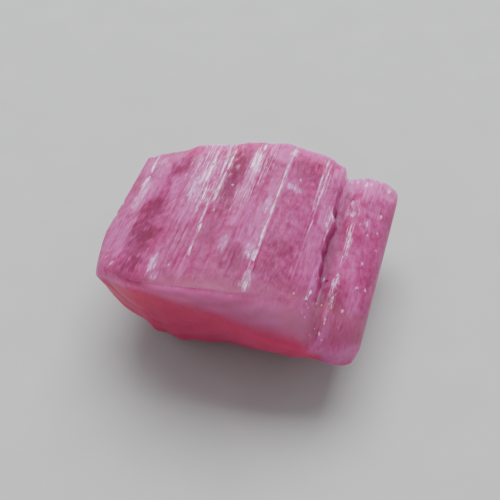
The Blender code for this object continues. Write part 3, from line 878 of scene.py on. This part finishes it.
def body_layers(tree, marks, silk, fibre, mottle):
    """Body layers: deep raspberry to milky pink and red, with painted shade, light, sky reflections and glow.
    """
    patchy = ramp(tree, grain(tree, PATCH, 3.0), 0.4, 0.6)
    blotched = ramp(tree, marks["etched"], 0.0, 1.0, 0.37, 0.32)
    return [
        (ramp(tree, grain(tree, CLOUD, 5.0), 0.4, 0.7, 0.0, 0.35), PALE),
        (multiplied(tree, ramp(tree, mottle, 0.52, 0.36), blotched), DARK),
        (multiplied(tree, ramp(tree, mottle, 0.55, 0.7, 0.0, 0.8), blotched), PALE),
        (marks["deep"], DARK),
        (marks["dusty"], SHADING_PINK),
        (multiplied(tree, marks["milky"], ramp(tree, silk, 0.38, 0.62, 0.45, 1.0)), PALE),
        (multiplied(tree, marks["bluish"], ramp(tree, silk, 0.38, 0.62, 0.3, 0.8)), REFLECTED_SKY),
        (multiplied(tree, patchy, ramp(tree, fibre, 0.54, 0.68, 0.0, 0.25)), PALE),
        (multiplied(tree, patchy, ramp(tree, silk, 0.45, 0.33, 0.0, 0.45)), DARK),
        (marks["red"], GLOW_RED),
    ]


def lit_lines(tree, bright, crumbs):
    """Strength of the painted highlight lines, broken into streaks and crumbs."""
    streaks = ramp(tree, grain(tree, STREAK), 0.3, 0.7, -0.5, 0.3)
    return multiplied(tree, broken(tree, bright, streaks), ramp(tree, crumbs, -0.35, 0.05, 0.5, 0.9))


def white_layers(tree, marks, fibre, crumbs, lit):
    """Layers of painted sheen, highlights and glints over the body colour: threads, flecks, highlight lines
    and dots.
    """
    thread = ramp(tree, grain(tree, THREAD), 0.54, 0.61, 0.0, 0.95)
    threads = multiplied(tree, ramp(tree, marks["striped"], 0.0, 1.0, 0.0, marks["silky"]), thread)
    flecks = ramp(tree, grain(tree, FLECK, 3.0), 0.54, 0.64)
    dotted = ramp(tree, marks["etched"], 0.0, 1.0, 0.2, 0.45)
    dots = multiplied(tree, glints(tree, DOT_CELL, DOT_SHARE), dotted)
    return [
        (multiplied(tree, threads, ramp(tree, fibre, 0.4, 0.6, 0.4, 1.0)), HIGHLIGHT_WHITE),
        (multiplied(tree, ramp(tree, marks["silky"], 0.1, 0.6, 0.0, 0.3), flecks), HIGHLIGHT_WHITE),
        (multiplied(tree, ramp(tree, marks["bluish"], 0.1, 0.6, 0.0, 0.5), flecks), HIGHLIGHT_WHITE),
        (lit, HIGHLIGHT_WHITE),
        (multiplied(tree, dots, marks["striped"]), HIGHLIGHT_WHITE),
        (ramp(tree, broken(tree, marks["spark"], crumbs), 0.0, 1.0, 0.0, 0.38), HIGHLIGHT_WHITE),
        (ramp(tree, broken(tree, marks["amber"], crumbs), 0.0, 1.0, 0.0, 0.6), SUNLIT),
    ]


def rubellite():
    """Milky raspberry stone with painted sheen along its growth lines, redder on the near break with a
    painted glow.
    """
    material = bpy.data.materials.new("rubellite")
    material.use_nodes = True
    tree = material.node_tree
    shader = tree.nodes["Principled BSDF"]
    marks = {name: mask(tree, name) for name in MASKS}
    striped = marks["striped"]
    silk = ramp(tree, striped, 0.0, 1.0, 0.5, grain(tree, SILK, 3.0))
    fibre = ramp(tree, striped, 0.0, 1.0, 0.5, grain(tree, FIBRE))
    mottle = grain(tree, MOTTLE, 4.0)
    crumbs = ramp(tree, grain(tree, CRUMB), 0.3, 0.7, -0.6, 0.3)
    lit = lit_lines(tree, marks["bright"], crumbs)

    layers = body_layers(tree, marks, silk, fibre, mottle) + white_layers(tree, marks, fibre, crumbs, lit)
    tree.links.new(layered(tree, BODY, layers), shader.inputs["Base Color"])
    dull = ramp(tree, silk, 0.3, 0.7, 0.36, 0.52)
    tree.links.new(ramp(tree, lit, 0.0, 1.0, dull, 0.25), shader.inputs["Roughness"])
    tree.links.new(ramp(tree, lit, 0.0, 1.0, 0.1, 0.9), shader.inputs["Specular IOR Level"])
    fine = add(tree, "ShaderNodeBump", {"Distance": FIBRE_RELIEF * MM, "Height": fibre, "Strength": striped})
    worn = {"Strength": 0.5, "Distance": MOTTLE_RELIEF * MM, "Height": mottle, "Normal": fine.outputs[0]}
    tree.links.new(add(tree, "ShaderNodeBump", worn).outputs[0], shader.inputs["Normal"])
    shader.inputs["IOR"].default_value = REFRACTION
    shader.inputs["Subsurface Weight"].default_value = LIGHT_INSIDE
    shader.inputs["Subsurface Radius"].default_value = LIGHT_SPREAD
    shader.inputs["Subsurface Scale"].default_value = SPREAD_SCALE * MM
    return material


# Floor: how far it runs to each side, the lumps of its mottle, its two greys and its roughness
FLOOR_REACH = 600
FLOOR_MOTTLE = (3.0, 3.0, 3.0)
FLOOR_GREY = (0.44, 0.44, 0.435, 1)
FLOOR_PALE = (0.5, 0.5, 0.49, 1)
FLOOR_ROUGHNESS = 0.8


def floor():
    """Plain pale floor with a faint mottle."""
    mesh = bpy.data.meshes.new("floor")
    sheet = bmesh.new()
    bmesh.ops.create_grid(sheet, x_segments=1, y_segments=1, size=FLOOR_REACH * MM)
    sheet.to_mesh(mesh)
    sheet.free()
    surface = bpy.data.objects.new("floor", mesh)
    bpy.context.scene.collection.objects.link(surface)
    material = bpy.data.materials.new("floor")
    material.use_nodes = True
    tree = material.node_tree
    shader = tree.nodes["Principled BSDF"]
    colour = mixed(tree, grain(tree, FLOOR_MOTTLE), FLOOR_GREY, FLOOR_PALE)
    tree.links.new(colour, shader.inputs["Base Color"])
    shader.inputs["Roughness"].default_value = FLOOR_ROUGHNESS
    mesh.materials.append(material)
    return surface


# Camera: what it looks at, from where, and its lens, whose focal length is in pixels of the photo
TARGET = Vector((0.33, -0.5, 4.0))
VIEW_AZIMUTH = 16.8
VIEW_HEIGHT = 48
VIEW_DISTANCE = 36.0
SENSOR_WIDTH = 36
PHOTO_WIDTH = 500
PHOTO_FOCAL_LENGTH = 810

# Light: pale surroundings all round, and the colour of the one large window
SKY = (0.93, 0.96, 1.0, 1)
SKY_STRENGTH = 0.58
WINDOW = (0.98, 0.98, 1.0)


def direction(azimuth, height):
    """Unit vector towards a viewer at these degrees round from the near break and up from the floor."""
    azimuth, height = math.radians(azimuth), math.radians(height)
    flat = math.cos(height)
    return Vector((math.sin(azimuth) * flat, -math.cos(azimuth) * flat, math.sin(height)))


def aim(thing, azimuth, height, distance):
    """Put a camera or light at a distance from the crystal, looking at it."""
    away = direction(azimuth, height)
    thing.location = (TARGET + away * distance) * MM
    thing.rotation_euler = (-away).to_track_quat("-Z", "Y").to_euler()
    bpy.context.scene.collection.objects.link(thing)


def camera():
    """Camera at the photo's viewing angle."""
    lens = bpy.data.cameras.new("camera")
    lens.sensor_width = SENSOR_WIDTH
    lens.lens = SENSOR_WIDTH * PHOTO_FOCAL_LENGTH / PHOTO_WIDTH
    lens.clip_start = MM
    view = bpy.data.objects.new("camera", lens)
    aim(view, VIEW_AZIMUTH, VIEW_HEIGHT, VIEW_DISTANCE)
    bpy.context.scene.camera = view


def softbox(name, azimuth, height, distance, width, depth, power, colour):
    """Soft rectangular light, its sizes in millimetres."""
    light = bpy.data.lights.new(name, "AREA")
    light.shape = "RECTANGLE"
    light.size = width * MM
    light.size_y = depth * MM
    light.energy = power
    light.color = colour
    aim(bpy.data.objects.new(name, light), azimuth, height, distance)


def studio():
    """Pale surroundings, and one large soft window from behind and above."""
    world = bpy.data.worlds.new("studio")
    world.use_nodes = True
    background = world.node_tree.nodes["Background"]
    background.inputs["Color"].default_value = SKY
    background.inputs["Strength"].default_value = SKY_STRENGTH
    bpy.context.scene.world = world
    softbox("window", azimuth=190, height=64, distance=300, width=270, depth=230, power=1.5, colour=WINDOW)


crystal = crystal_piece()
crystal.data.materials.append(rubellite())
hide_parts("crystal")
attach(crystal, "root")
floor()
camera()
studio()
